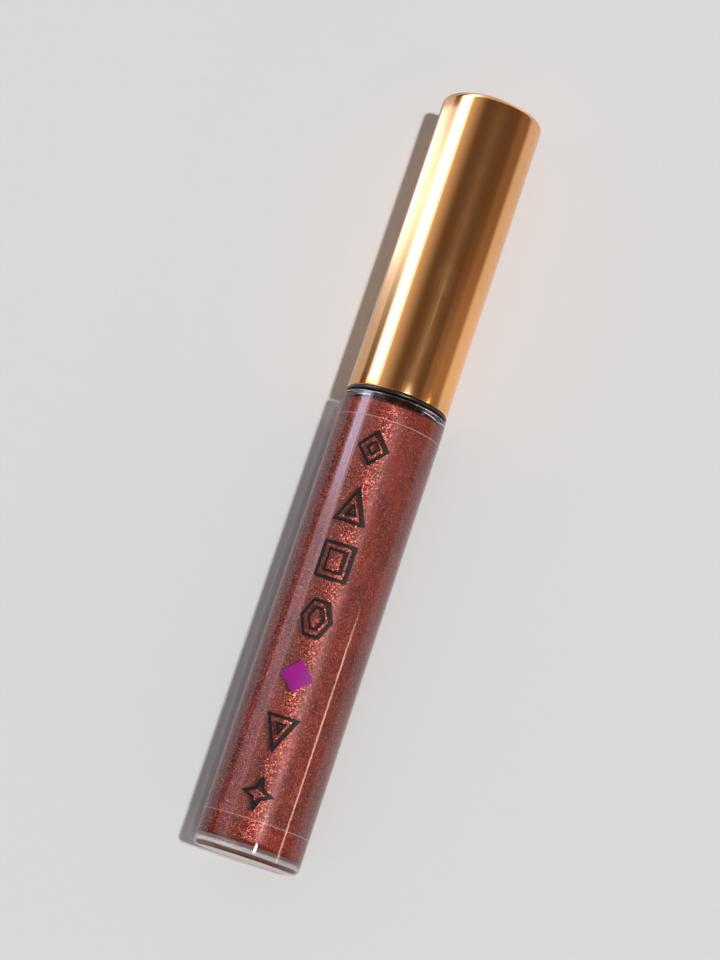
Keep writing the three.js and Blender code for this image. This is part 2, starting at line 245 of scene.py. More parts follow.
def shader_group(name, inputs, outputs):
    """A group that reads a Vector and numbers. Its outputs are numbers, but for a Normal."""
    given = [("Vector", "NodeSocketVector", None)]
    given += [(key, "NodeSocketFloat", default) for key, default in inputs.items()]
    kinds = [(key, "NodeSocketVector" if key == "Normal" else "NodeSocketFloat") for key in outputs]
    return new_group(name, "ShaderNodeTree", given, kinds)


def stretched(tree, vector, along):
    """Object coordinates scaled along the tube."""
    return value_of(tree, "ShaderNodeMapping", {"Vector": vector, "Scale": (1.0, 1.0, along)})


def per(tree, size):
    """The texture scale for a size in millimetres."""
    return math_node(tree, "DIVIDE", 1 / MM, size)


def noise(tree, vector, scale, detail, roughness=0.5, distortion=0.0):
    return value_of(tree, "ShaderNodeTexNoise", {
        "Vector": vector, "Scale": scale, "Detail": detail, "Roughness": roughness,
        "Distortion": distortion})


# ---- Shared shader groups ----


def handling_marks_group():
    """Soft smudges from fingers, and short fine hairlines along the tube, as two masks."""
    group, given, result = shader_group(
        "handling_marks", {"Smudge Size": 9.0, "Hairline Spacing": 0.35}, ("Smudge", "Hairline"))
    smudge = noise(group, given["Vector"], per(group, given["Smudge Size"]), 4.0, 0.62, 0.6)
    drawn_out = stretched(group, given["Vector"], 0.035)
    line = noise(group, drawn_out, per(group, given["Hairline Spacing"]), 2.0)
    feed(group, result, smudge=remap(group, smudge, 0.46, 0.72, smooth=True),
         hairline=remap(group, line, 0.6, 0.74, smooth=True))
    return group


def moulded_grain_group():
    """The fine grain of moulded or foamed plastic: a height, and a slow variation of tone."""
    group, given, result = shader_group("moulded_grain", {"Grain Size": 0.12}, ("Height", "Tone"))
    grain = noise(group, given["Vector"], per(group, given["Grain Size"]), 3.0, 0.6)
    tone = noise(group, given["Vector"], 0.25 / MM, 3.0)
    feed(group, result, height=grain, tone=remap(group, tone, 0.3, 0.7))
    return group


def glitter_group():
    """Metallic flakes: the liquid's swirl, a mask of flakes, their hue and their tilted normals."""
    group, given, result = shader_group(
        "glitter", {"Flake Size": 0.13, "Tilt": 0.6, "Share": 0.2}, ("Swirl", "Flake", "Hue", "Normal"))
    swirl = noise(group, stretched(group, given["Vector"], 0.45), 0.42 / MM, 5.0, 0.66, 0.9)
    cells = node(group, "ShaderNodeTexVoronoi", {
        "Vector": given["Vector"], "Scale": per(group, given["Flake Size"])})
    parts = node(group, "ShaderNodeSeparateColor", {0: cells.outputs["Color"]})
    threshold = math_node(group, "SUBTRACT", 1.0, given["Share"])
    chosen = math_node(group, "GREATER_THAN", parts.outputs[0], threshold)
    centred = vector_math(group, "SUBTRACT", cells.outputs["Color"], (0.5, 0.5, 0.5))
    tilted = vector_math(group, "SCALE", centred, Scale=product(group, given["Tilt"], chosen))
    surface = node(group, "ShaderNodeNewGeometry")
    normal = vector_math(group, "NORMALIZE", vector_math(group, "ADD", surface.outputs["Normal"], tilted))
    feed(group, result, swirl=remap(group, swirl, 0.32, 0.68, smooth=True), flake=chosen,
         hue=parts.outputs[1], normal=normal)
    return group


HANDLING_MARKS = handling_marks_group()
MOULDED_GRAIN = moulded_grain_group()
GLITTER = glitter_group()


def use_group(tree, group, **inputs):
    """Puts a shader group in a material, reading Object coordinates."""
    made = tree.nodes.new("ShaderNodeGroup")
    made.node_tree = group
    coordinates = node(tree, "ShaderNodeTexCoord")
    tree.links.new(coordinates.outputs["Object"], made.inputs["Vector"])
    for key, value in inputs.items():
        made.inputs[socket_name(key)].default_value = value
    return made.outputs


def new_material(name, **constants):
    """A material with one Principled shader: (material, its tree, the shader)."""
    material = bpy.data.materials.new(name)
    material.use_nodes = True
    tree = material.node_tree
    shader = tree.nodes["Principled BSDF"]
    for key, value in constants.items():
        shader.inputs[socket_name(key)].default_value = value
    return material, tree, shader


def mixed_out(tree, target, factor, first, second):
    """Two shaders mixed, and sent to the output node."""
    mixed = value_of(tree, "ShaderNodeMixShader", {0: factor, 1: first, 2: second})
    feed(tree, tree.nodes[target], surface=mixed)


def bump(tree, shader, height, distance):
    """Feeds the shader's normal from a height, whose full range is distance in millimetres."""
    feed(tree, shader, normal=value_of(tree, "ShaderNodeBump", {
        "Height": height, "Distance": distance * MM, "Strength": 1.0}))


# ---- Materials ----


def polished_gold():
    material, tree, shader = new_material("polished_gold", metallic=1.0)
    marks = use_group(tree, HANDLING_MARKS, smudge_size=7.0, hairline_spacing=0.3)
    warm = mix_colours(tree, marks["Smudge"], (0.95, 0.52, 0.215), (0.91, 0.51, 0.235))
    smudged = remap(tree, marks["Smudge"], 0.0, 1.0, 0.125, 0.14)
    lined = math_node(tree, "MULTIPLY_ADD", marks["Hairline"], 0.03, smudged)
    feed(tree, shader, base_color=warm, roughness=lined)
    bump(tree, shader, marks["Hairline"], 0.0006)
    return material


def shadow_through(tree, shader, face_on, edge_on, solid_part=0.0):
    """Lets lamps shine through a clear wall met face on, and holds them back at its edges."""
    path = node(tree, "ShaderNodeLightPath")
    slope = node(tree, "ShaderNodeLayerWeight", {"Blend": 0.5}).outputs["Facing"]
    edge = math_node(tree, "MAXIMUM", remap(tree, slope, 0.38, 0.52, smooth=True), solid_part)
    tint = mix_colours(tree, edge, face_on, edge_on)
    passing = value_of(tree, "ShaderNodeBsdfTransparent", {"Color": tint})
    mixed_out(tree, "Material Output", path.outputs["Is Shadow Ray"], shader.outputs[0], passing)


def height_of(tree):
    """How high up the tube a point is, in metres."""
    coordinates = node(tree, "ShaderNodeTexCoord")
    return node(tree, "ShaderNodeSeparateXYZ", {0: coordinates.outputs["Object"]}).outputs[2]


def clear_plastic():
    material, tree, shader = new_material("clear_plastic", base_color=(0.97, 0.975, 0.98, 1), ior=1.57,
                                          transmission_weight=1.0)
    marks = use_group(tree, HANDLING_MARKS, smudge_size=6.0, hairline_spacing=0.4)
    smudged = remap(tree, marks["Smudge"], 0.0, 1.0, 0.02, 0.07)
    feed(tree, shader, roughness=math_node(tree, "MULTIPLY_ADD", marks["Hairline"], 0.05, smudged))
    bump(tree, shader, marks["Smudge"], 0.0015)
    height = height_of(tree)
    above = math_node(tree, "GREATER_THAN", height, (GLOSS_TOP - 0.4) * MM)
    below = math_node(tree, "LESS_THAN", height, (GLOSS_FLOOR + 0.2) * MM)
    solid_part = math_node(tree, "MAXIMUM", above, below)
    shadow_through(tree, shader, (0.94, 0.94, 0.95), (0.3, 0.28, 0.28), solid_part)
    return material


def clear_film():
    """Hardly seen face on. Its upper and lower edges catch the light as fine lines."""
    material, tree, shader = new_material("clear_film", base_color=(0.93, 0.92, 0.94, 1))
    height = height_of(tree)
    from_top = math_node(tree, "SUBTRACT", FILM_TOP * MM, height)
    from_bottom = math_node(tree, "SUBTRACT", height, FILM_BOTTOM * MM)
    edge = remap(tree, math_node(tree, "MINIMUM", from_top, from_bottom), 0.0, 0.1 * MM, 0.3, 0.005)
    marks = use_group(tree, HANDLING_MARKS, smudge_size=8.0, hairline_spacing=0.5)
    feed(tree, shader, alpha=edge, roughness=remap(tree, marks["Smudge"], 0.0, 1.0, 0.1, 0.22))
    shadow_through(tree, shader, (0.98, 0.98, 0.98), (0.9, 0.9, 0.9))
    return material


def rose_gloss():
    """A deep rose liquid full of fine metallic flakes, with a few brighter ones."""
    material, tree, shader = new_material("rose_gloss", ior=1.46, specular_ior_level=0.16)
    fine = use_group(tree, GLITTER, flake_size=0.12, tilt=0.45, share=0.4)
    coarse = use_group(tree, GLITTER, flake_size=0.12, tilt=0.5, share=0.01)
    body = mix_colours(tree, fine["Swirl"], (0.078, 0.0032, 0.0018), (0.21, 0.0145, 0.009))
    warm = mix_colours(tree, fine["Hue"], (0.52, 0.15, 0.085), (0.44, 0.13, 0.12))
    shimmer = mix_colours(tree, product(tree, fine["Flake"], 0.5), body, warm)
    bright = mix_colours(tree, coarse["Hue"], (0.8, 0.28, 0.12), (0.75, 0.28, 0.22))
    metal = math_node(tree, "MULTIPLY_ADD", fine["Flake"], 0.55, 0.03)
    tilted = node(tree, "ShaderNodeMix", {0: coarse["Flake"], 4: fine["Normal"], 5: coarse["Normal"]},
                  data_type="VECTOR")
    feed(tree, shader, base_color=mix_colours(tree, coarse["Flake"], shimmer, bright),
         roughness=remap(tree, coarse["Flake"], 0.0, 1.0, 0.32, 0.36),
         metallic=math_node(tree, "MULTIPLY_ADD", coarse["Flake"], 0.2, metal), normal=tilted.outputs[1])
    return material


def moulded(name, colour, roughness, grain_size, depth, tone_shift=0.08, **constants):
    """A moulded plastic or foam: one colour that varies slowly, with a fine grain."""
    material, tree, shader = new_material(name, **constants)
    grain = use_group(tree, MOULDED_GRAIN, grain_size=grain_size)
    deeper = tuple(channel * (1 - tone_shift) for channel in colour)
    feed(tree, shader, base_color=mix_colours(tree, grain["Tone"], colour, deeper),
         roughness=remap(tree, grain["Height"], 0.3, 0.7, roughness - 0.04, roughness + 0.06))
    bump(tree, shader, grain["Height"], depth)
    return material


def ink(name, colour):
    """Screen-printed ink: nearly flat, with a faint mottling."""
    return moulded(name, colour, 0.5, 0.25, 0.003, tone_shift=0.25, specular_ior_level=0.2)


def coated_stem():
    """Glossy black rod with a thin coat of gloss up to the level of the liquid."""
    material, tree, shader = new_material("coated_stem", roughness=0.22)
    height = height_of(tree)
    glitter = use_group(tree, GLITTER, flake_size=0.12, tilt=0.4, share=0.25)
    level = math_node(tree, "MULTIPLY_ADD", glitter["Swirl"], 7 * MM, height)
    wet = remap(tree, level, (LIP_Z - 16) * MM, LIP_Z * MM, 0.85, 0.0)
    patchy = product(tree, wet, remap(tree, glitter["Swirl"], 0.2, 0.7, 0.35, 1.0))
    gloss = mix_colours(tree, glitter["Flake"], (0.3, 0.07, 0.045), (0.6, 0.25, 0.17))
    feed(tree, shader, base_color=mix_colours(tree, patchy, (0.013, 0.012, 0.013), gloss))
    return material


def glossed_flock():
    """Flock fibres soaked with gloss."""
    material, tree, shader = new_material("glossed_flock", sheen_weight=0.35)
    glitter = use_group(tree, GLITTER, flake_size=0.15, tilt=0.3, share=0.12)
    body = mix_colours(tree, glitter["Swirl"], (0.42, 0.14, 0.1), (0.62, 0.27, 0.2))
    feed(tree, shader, base_color=mix_colours(tree, glitter["Flake"], body, (0.9, 0.5, 0.35)),
         roughness=remap(tree, glitter["Flake"], 0.0, 1.0, 0.6, 0.3))
    return material


GOLD = polished_gold()
CLEAR = clear_plastic()
FILM = clear_film()
GLOSS = rose_gloss()
BLACK = moulded("black_closure", (0.011, 0.010, 0.011), 0.3, 0.1, 0.004)
WIPER = moulded("soft_white", (0.72, 0.71, 0.68), 0.42, 0.14, 0.004, subsurface_weight=0.25,
                subsurface_scale=MM)
FOAM = moulded("washer_foam", (0.84, 0.82, 0.77), 0.75, 0.18, 0.02)
CORE = moulded("tip_plastic", (0.68, 0.62, 0.57), 0.45, 0.12, 0.004)
STEM = coated_stem()
FLOCK = glossed_flock()
BLACK_INK = ink("black_ink", (0.010, 0.006, 0.007))
MAGENTA_INK = ink("magenta_ink", (0.42, 0.012, 0.3))

# ---- Mesh helpers ----


def arc(centre_r, centre_z, radius, start, end, steps=8):
    """Points of a round in the (radius, height) plane, between two angles in degrees."""
    points = []
    for i in range(steps + 1):
        angle = math.radians(start + (end - start) * i / steps)
        points.append((centre_r + radius * math.cos(angle), centre_z + radius * math.sin(angle)))
    return points


def corner(radius, height, size, start, end, steps=8):
    """Points of the round in a right-angled corner at (radius, height)."""
    middle = math.radians((start + end) / 2)
    out = math.copysign(size, math.cos(middle))
    up = math.copysign(size, math.sin(middle))
    return arc(radius - out, height - up, size, start, end, steps)


def rise(radius, bottom, top, step=2.0):
    """Points up a straight wall, or down it, so that its faces stay short."""
    count = max(1, round(abs(top - bottom) / step))
    return [(radius, bottom + (top - bottom) * i / count) for i in range(count + 1)]


def add_object(name, data):
    made = bpy.data.objects.new(name, data)
    bpy.context.scene.collection.objects.link(made)
    return made


def add_mesh(name, vertices, faces):
    mesh = bpy.data.meshes.new(name)
    mesh.from_pydata(vertices, [], faces)
    return add_object(name, mesh)


def shade_smooth(mesh):
    """Smooth shading, sharp only where faces meet at a real edge."""
    mesh.polygons.foreach_set("use_smooth", [True] * len(mesh.polygons))
    mesh.set_sharp_from_angle(angle=CREASE)
    mesh.update()


def turned(name, outline, closed=False):
    """A solid of revolution from (radius, height) points in millimetres, with the solid on their left."""
    clean = [outline[0]]
    for point in outline[1:]:
        if math.dist(point, clean[-1]) > 1e-5:
            clean.append(point)
    vertices, rings = [], []
    for radius, height in clean:
        count = 1 if radius < 1e-6 else SEGMENTS
        rings.append(range(len(vertices), len(vertices) + count))
        for j in range(count):
            angle = 2 * math.pi * j / SEGMENTS
            vertices.append((radius * math.cos(angle) * MM, radius * math.sin(angle) * MM, height * MM))
    pairs = list(zip(rings, rings[1:]))
    if closed:
        pairs.append((rings[-1], rings[0]))
    faces = []
    for lower, upper in pairs:
        for j in range(SEGMENTS):
            corners = [lower[j % len(lower)], lower[(j + 1) % len(lower)],
                       upper[(j + 1) % len(upper)], upper[j % len(upper)]]
            face = list(dict.fromkeys(corners))
            if len(face) > 2:
                faces.append(face)
    made = add_mesh(name, vertices, faces)
    made.data.validate()
    shade_smooth(made.data)
    return made


def apply_tree(target, tree, **inputs):
    """Runs a Geometry Nodes tree on an object, and keeps the result as its plain mesh."""
    modifier = target.modifiers.new("shape", "NODES")
    modifier.node_group = tree
    sockets = [item for item in tree.interface.items_tree if item.in_out == "INPUT"]
    identifiers = {socket.name: socket.identifier for socket in sockets}
    for key, value in inputs.items():
        modifier[identifiers[socket_name(key)]] = value
    graph = bpy.context.evaluated_depsgraph_get()
    mesh = bpy.data.meshes.new_from_object(target.evaluated_get(graph))
    target.modifiers.remove(modifier)
    old = target.data
    target.data = mesh
    mesh.name = target.name
    bpy.data.meshes.remove(old)
    shade_smooth(mesh)


def finish_piece(piece, material, body, slot, *stands_for):
    """Gives a piece its material, and ties it to the frame."""
    piece.data.materials.clear()
    piece.data.materials.append(material)
    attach(piece, body)
    if stands_for:
        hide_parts(*stands_for)
    return piece


# ---- Geometry Nodes trees ----

FLOAT = "NodeSocketFloat"


def start_tree(name, *inputs):
    """A tree that takes a Geometry, its own inputs and a Material, and gives a Geometry."""
    every = [("Geometry", "NodeSocketGeometry", None), *inputs, ("Material", "NodeSocketMaterial", None)]
    return new_group(name, "GeometryNodeTree", every, [("Geometry", "NodeSocketGeometry")])


def end_tree(tree, given, result, geometry):
    """Realize Instances and Set Material, then out."""
    real = value_of(tree, "GeometryNodeRealizeInstances", {"Geometry": geometry})
    painted = value_of(tree, "GeometryNodeSetMaterial", {"Geometry": real, "Material": given["Material"]})
    feed(tree, result, geometry=painted)
    return tree


def lifted(tree, geometry, height):
    offset = value_of(tree, "ShaderNodeCombineXYZ", {2: height})
    return value_of(tree, "GeometryNodeTransform", {"Geometry": geometry, "Translation": offset})


def united(tree, addition, given):
    """An addition joined to the geometry that came in, as one closed skin."""
    union = node(tree, "GeometryNodeMeshBoolean", operation="UNION", solver="EXACT")
    tree.links.new(addition, union.inputs[1])
    tree.links.new(given["Geometry"], union.inputs[1])
    return union.outputs[0]


def screw_thread_tree():
    """Sweeps a round ridge along a helix, tapering at both ends, and joins it to the turned body."""
    tree, given, result = start_tree(
        "screw_thread", ("Helix Radius", FLOAT, 0.005), ("Lead", FLOAT, 0.003), ("Turns", FLOAT, 1.5),
        ("Start Height", FLOAT, 0.0), ("Ridge Radius", FLOAT, 0.0005))
    length = product(tree, given["Lead"], given["Turns"])
    helix = node(tree, "GeometryNodeCurveSpiral", {
        "Resolution": 72, "Rotations": given["Turns"], "Start Radius": given["Helix Radius"],
        "End Radius": given["Helix Radius"], "Height": length})
    placed = lifted(tree, helix.outputs[0], given["Start Height"])
    along = node(tree, "GeometryNodeSplineParameter").outputs["Factor"]
    to_end = math_node(tree, "MINIMUM", along, math_node(tree, "SUBTRACT", 1.0, along))
    taper = remap(tree, to_end, 0.0, 0.09, 0.05, 1.0, smooth=True)
    profile = value_of(tree, "GeometryNodeCurvePrimitiveCircle", {
        "Resolution": 12, "Radius": given["Ridge Radius"]})
    ridge = node(tree, "GeometryNodeCurveToMesh", {
        "Curve": placed, "Profile Curve": profile, "Scale": taper, "Fill Caps": True})
    return end_tree(tree, given, result, united(tree, ridge.outputs[0], given))


def spokes_tree():
    """Sets blocks in a ring round the axis and joins them to the turned body."""
    tree, given, result = start_tree(
        "spokes", ("Count", "NodeSocketInt", 12), ("Ring Radius", FLOAT, 0.007),
        ("Block Size", "NodeSocketVector", (MM, MM, MM)), ("Middle Height", FLOAT, 0.0))
    ring = node(tree, "GeometryNodeMeshCircle", {
        "Vertices": given["Count"], "Radius": given["Ring Radius"]})
    where = value_of(tree, "GeometryNodeInputPosition")
    facing = value_of(tree, "FunctionNodeAlignRotationToVector", {"Vector": where}, axis="X")
    block = value_of(tree, "GeometryNodeMeshCube", {"Size": given["Block Size"]})
    copies = value_of(tree, "GeometryNodeInstanceOnPoints", {
        "Points": ring.outputs[0], "Instance": block, "Rotation": facing})
    real = value_of(tree, "GeometryNodeRealizeInstances", {"Geometry": copies})
    placed = lifted(tree, real, given["Middle Height"])
    return end_tree(tree, given, result, united(tree, placed, given))


def flocking_tree():
    """Plants short tapered fibres all over a skin, leaning a little at random."""
    tree, given, result = start_tree(
        "flocking", ("Density", FLOAT, 50e6), ("Fibre Length", FLOAT, 0.0003),
        ("Fibre Radius", FLOAT, 0.00002), ("Lean", FLOAT, 0.35), ("Seed", "NodeSocketInt", 7))
    points = node(tree, "GeometryNodeDistributePointsOnFaces", {
        "Mesh": given["Geometry"], "Density": given["Density"], "Seed": given["Seed"]})
    lean_low = product(tree, given["Lean"], -1.0)
    full_turn = 6.28
    low_corner = value_of(tree, "ShaderNodeCombineXYZ", {0: lean_low, 1: lean_low, 2: 0.0})
    high_corner = value_of(tree, "ShaderNodeCombineXYZ", {
        0: given["Lean"], 1: given["Lean"], 2: full_turn})
    turn = value_of(tree, "FunctionNodeRandomValue", {0: low_corner, 1: high_corner, "Seed": 3},
                    data_type="FLOAT_VECTOR")
    turned_by = value_of(tree, "FunctionNodeEulerToRotation", {0: turn})
    leaning = node(tree, "FunctionNodeRotateRotation", {
        "Rotation": points.outputs["Rotation"], "Rotate By": turned_by}, rotation_space="LOCAL")
    tip_radius = product(tree, given["Fibre Radius"], 0.35)
    fibre = value_of(tree, "GeometryNodeMeshCone", {
        "Vertices": 4, "Side Segments": 1, "Radius Top": tip_radius,
        "Radius Bottom": given["Fibre Radius"], "Depth": given["Fibre Length"]})
    copies = value_of(tree, "GeometryNodeInstanceOnPoints", {
        "Points": points.outputs["Points"], "Instance": fibre, "Rotation": leaning.outputs[0]})
    both = node(tree, "GeometryNodeJoinGeometry")
    tree.links.new(copies, both.inputs[0])
    tree.links.new(given["Geometry"], both.inputs[0])
    return end_tree(tree, given, result, both.outputs[0])


def wrap_tree():
    """Rolls flat shapes drawn in the XZ plane round the tube, with -Y outwards."""
    tree, given, result = start_tree(
        "wrap_round_tube", ("Tube Radius", FLOAT, 0.008), ("Azimuth", FLOAT, 0.0))
    where = node(tree, "ShaderNodeSeparateXYZ", {0: node(tree, "GeometryNodeInputPosition").outputs[0]})
    turn = math_node(tree, "DIVIDE", where.outputs[0], given["Tube Radius"])
    angle = math_node(tree, "ADD", turn, given["Azimuth"])
    radius = math_node(tree, "SUBTRACT", given["Tube Radius"], where.outputs[1])
    x = product(tree, radius, math_node(tree, "SINE", angle))
    ahead = product(tree, radius, math_node(tree, "COSINE", angle))
    y = product(tree, ahead, -1.0)
    rolled = value_of(tree, "ShaderNodeCombineXYZ", {0: x, 1: y, 2: where.outputs[2]})
    moved = value_of(tree, "GeometryNodeSetPosition", {
        "Geometry": given["Geometry"], "Position": rolled})
    return end_tree(tree, given, result, moved)


SCREW_THREAD = screw_thread_tree()
SPOKES = spokes_tree()
FLOCKING = flocking_tree()
WRAP = wrap_tree()

# ---- Pieces ----


def add_thread(piece, crest_r, ridge_r, material):
    """Winds a round ridge on a wall. crest_r is the radius of the ridge's centre line."""
    apply_tree(piece, SCREW_THREAD, helix_radius=crest_r * MM, lead=THREAD_LEAD * MM, turns=THREAD_TURNS,
               start_height=(SHOULDER_Z + THREAD_START) * MM, ridge_radius=ridge_r * MM, material=material)


def make_bottle():
    hollow_r = BOTTLE_R - HEEL_FILLET - STANDING_RING_WIDTH
    foot = NECK_FOOT_FILLET
    outline = [(hollow_r * i / 8, BASE_HOLLOW * (1 - (i / 8) ** 2)) for i in range(9)]
    outline += corner(BOTTLE_R, 0, HEEL_FILLET, -90, 0)
    outline += rise(BOTTLE_R, HEEL_FILLET, SHOULDER_Z - SHOULDER_FILLET)
    outline += corner(BOTTLE_R, SHOULDER_Z, SHOULDER_FILLET, 0, 90)
    outline += corner(NECK_R, SHOULDER_Z, foot, -90, -180)
    outline += rise(NECK_R, SHOULDER_Z + foot, RIM_Z - RIM_FILLET, 0.5)
    outline += corner(NECK_R, RIM_Z, RIM_FILLET, 0, 90, 4)
    outline += corner(BORE_R, RIM_Z, BORE_FILLET, 90, 180, 4)
    outline += rise(BORE_R, RIM_Z - BORE_FILLET, CONE_TOP)
    outline += arc(CAVITY_R - CONE_FILLET, CAVITY_WALL_TOP, CONE_FILLET, 60, 0, 5)
    outline += rise(CAVITY_R, CAVITY_WALL_TOP, BASE_THICKNESS + CAVITY_FILLET)
    outline += corner(CAVITY_R, BASE_THICKNESS, CAVITY_FILLET, 0, -90)
    outline += [(CAVITY_R * 0.5, BASE_THICKNESS), (0, BASE_THICKNESS)]
    bottle = turned("clear_bottle", outline)
    add_thread(bottle, NECK_R + NECK_THREAD_DEPTH - NECK_RIDGE_R, NECK_RIDGE_R, CLEAR)
    return finish_piece(bottle, CLEAR, "bottle", "clear_plastic", "bottle")


def make_gloss():
    reach = CAVITY_R + GLOSS_OVERLAP
    floor = BASE_THICKNESS - GLOSS_OVERLAP
    outline = [(0, floor), (reach * 0.5, floor)]
    outline += corner(reach, floor, CAVITY_FILLET, -90, 0)
    outline += rise(reach, floor + CAVITY_FILLET, CAVITY_WALL_TOP)
    outline += arc(reach - CONE_FILLET, CAVITY_WALL_TOP, CONE_FILLET, 0, 60, 5)
    outline += [(BORE_R, GLOSS_TOP)]
    outline += corner(WELL_R, GLOSS_TOP, WELL_TOP_FILLET, 90, 180, 5)
    outline += rise(WELL_R, GLOSS_TOP - WELL_TOP_FILLET, WELL_FLOOR + WELL_FLOOR_FILLET)
    outline += corner(WELL_R, WELL_FLOOR, WELL_FLOOR_FILLET, 0, -90, 5)
    outline += [(0, WELL_FLOOR)]
    return finish_piece(turned("gloss", outline), GLOSS, "bottle", "gloss_liquid", "gloss_fill")


def make_film():
    """The wrap label: a thin open ring, from one side of its seam to the other."""
    seam = FILM_SEAM_WIDTH / 2 / FILM_R
    steps, rows = 120, 31
    heights = [FILM_BOTTOM + (FILM_TOP - FILM_BOTTOM) * k / rows for k in range(rows + 1)]
    section = [(FILM_R, height) for height in heights]
    section += [(BOTTLE_R + FILM_GAP, height) for height in reversed(heights)]
    vertices, faces = [], []
    for i in range(steps + 1):
        angle = math.pi / 2 + seam + (2 * math.pi - 2 * seam) * i / steps
        vertices += [(radius * math.cos(angle) * MM, radius * math.sin(angle) * MM, height * MM)
                     for radius, height in section]
    count = len(section)
    for first in range(0, steps * count, count):
        for k in range(count):
            near, far = first + k, first + (k + 1) % count
            faces.append((near, near + count, far + count, far))
    last = steps * count
    for k in range(rows):
        faces.append((k, k + 1, count - 2 - k, count - 1 - k))
        faces.append((last + k, last + count - 1 - k, last + count - 2 - k, last + k + 1))
    film = add_mesh("wrap_label", vertices, faces)
    shade_smooth(film.data)
    return finish_piece(film, FILM, "bottle", "clear_film", "label_film")


def polygon(corners, start=90.0, waist=1.0):
    """Corners of a regular outline one unit across its radius; waist pulls in every second corner."""
    points = []
    for i in range(corners):
        angle = math.radians(start + 360 * i / corners)
        reach = waist if i % 2 else 1.0
        points.append(Vector((reach * math.cos(angle), reach * math.sin(angle))))
    return points


def scaled_to(points, width, height):
    """The outline stretched to a width and a height, centred on its own box."""
    xs = [p.x for p in points]
    ys = [p.y for p in points]
    centre = Vector(((max(xs) + min(xs)) / 2, (max(ys) + min(ys)) / 2))
    wide = width / (max(xs) - min(xs))
    tall = height / (max(ys) - min(ys))
    return [Vector(((p.x - centre.x) * wide, (p.y - centre.y) * tall)) for p in points]


def inset(points, distance):
    """The outline moved inwards by a distance, corner by corner."""
    moved = []
    count = len(points)
    for i, point in enumerate(points):
        before = (point - points[i - 1]).normalized()
        after = (points[(i + 1) % count] - point).normalized()
        first = Vector((-before.y, before.x))
        second = Vector((-after.y, after.x))
        bisector = (first + second).normalized()
        moved.append(point + bisector * distance / max(0.3, bisector.dot(first)))
    return moved


def ribbon(shape, outer, inner, centre_z):
    """A closed band of ink between two outlines with equal numbers of corners."""
    rings = []
    for outline, depth in ((outer, 0), (inner, 0), (inner, 1), (outer, 1)):
        y = INK_LAYERS[depth] * MM
        rings.append([shape.verts.new((p.x * MM, y, (p.y + centre_z) * MM)) for p in outline])
    for first, second in zip(rings, rings[1:] + rings[:1]):
        for i in range(len(outer)):
            shape.faces.new((first[i - 1], first[i], second[i], second[i - 1]))


def divided_alike(outer, inner, step=0.35):
    """Extra points on two outlines, in step with each other, so that they bend round the tube."""
    first, second = [], []
    count = len(outer)
    for i in range(count):
        j = (i + 1) % count
        pieces = max(1, math.ceil((outer[j] - outer[i]).length / step))
        first += [outer[i].lerp(outer[j], k / pieces) for k in range(pieces)]
        second += [inner[i].lerp(inner[j], k / pieces) for k in range(pieces)]
    return first, second


def line_round(shape, outline, stroke, centre_z):
    """An inked line of one width just inside an outline."""
    ribbon(shape, *divided_alike(outline, inset(outline, stroke)), centre_z)


def filled(shape, outline, centre_z, rings=6):
    """One closed sheet of ink over the whole of an outline."""
    border = divided_alike(outline, outline)[0]
    edges = []
    for depth in INK_LAYERS:
        rows = []
        for ring in range(rings):
            share = (1 - ring / rings) * MM
            rows.append([
                shape.verts.new((p.x * share, depth * MM, p.y * share + centre_z * MM)) for p in border])
        middle = shape.verts.new((0.0, depth * MM, centre_z * MM))
        for i in range(len(border)):
            for outer, inner in zip(rows, rows[1:]):
                shape.faces.new((outer[i - 1], outer[i], inner[i], inner[i - 1]))
            shape.faces.new((rows[-1][i - 1], rows[-1][i], middle))
        edges.append(rows[0])
    front, back = edges
    for i in range(len(border)):
        shape.faces.new((front[i - 1], back[i - 1], back[i], front[i]))


def draw_figures(shape):
    """The column's plain figures. Each is double-lined, but for the last, which is too narrow."""
    figures = [polygon(4), polygon(3), polygon(4, 45), polygon(6, 0), None, polygon(3, 270),
               polygon(8, 90, 0.42)]
    for i, figure in enumerate(figures):
        if i == COLOURED_MARK_NUMBER:
            continue
        centre = TOP_MARK_Z - i * MARK_PITCH
        outline = scaled_to(figure, MARK_WIDTH, MARK_HEIGHT)
        line_round(shape, outline, MARK_STROKE, centre)
        if len(figure) < 8:
            within = inset(outline, MARK_STROKE + MARK_LINE_GAP)
            line_round(shape, within, MARK_STROKE * INNER_STROKE_SHARE, centre)


def draw_coloured_figure(shape):
    outline = scaled_to(polygon(4), MARK_WIDTH, MARK_HEIGHT * COLOURED_MARK_SHARE)
    filled(shape, outline, TOP_MARK_Z - COLOURED_MARK_NUMBER * MARK_PITCH)


def make_print(name, draw, material, slot):
    """Draws flat shapes of ink, and rolls them round the tube onto the film."""
    mesh = bpy.data.meshes.new(name)
    shape = bmesh.new()
    draw(shape)
    bmesh.ops.recalc_face_normals(shape, faces=shape.faces)
    shape.to_mesh(mesh)
    shape.free()
    made = add_object(name, mesh)
    apply_tree(made, WRAP, tube_radius=FILM_R * MM, azimuth=MARK_AZIMUTH, material=material)
    return finish_piece(made, material, "bottle", slot)


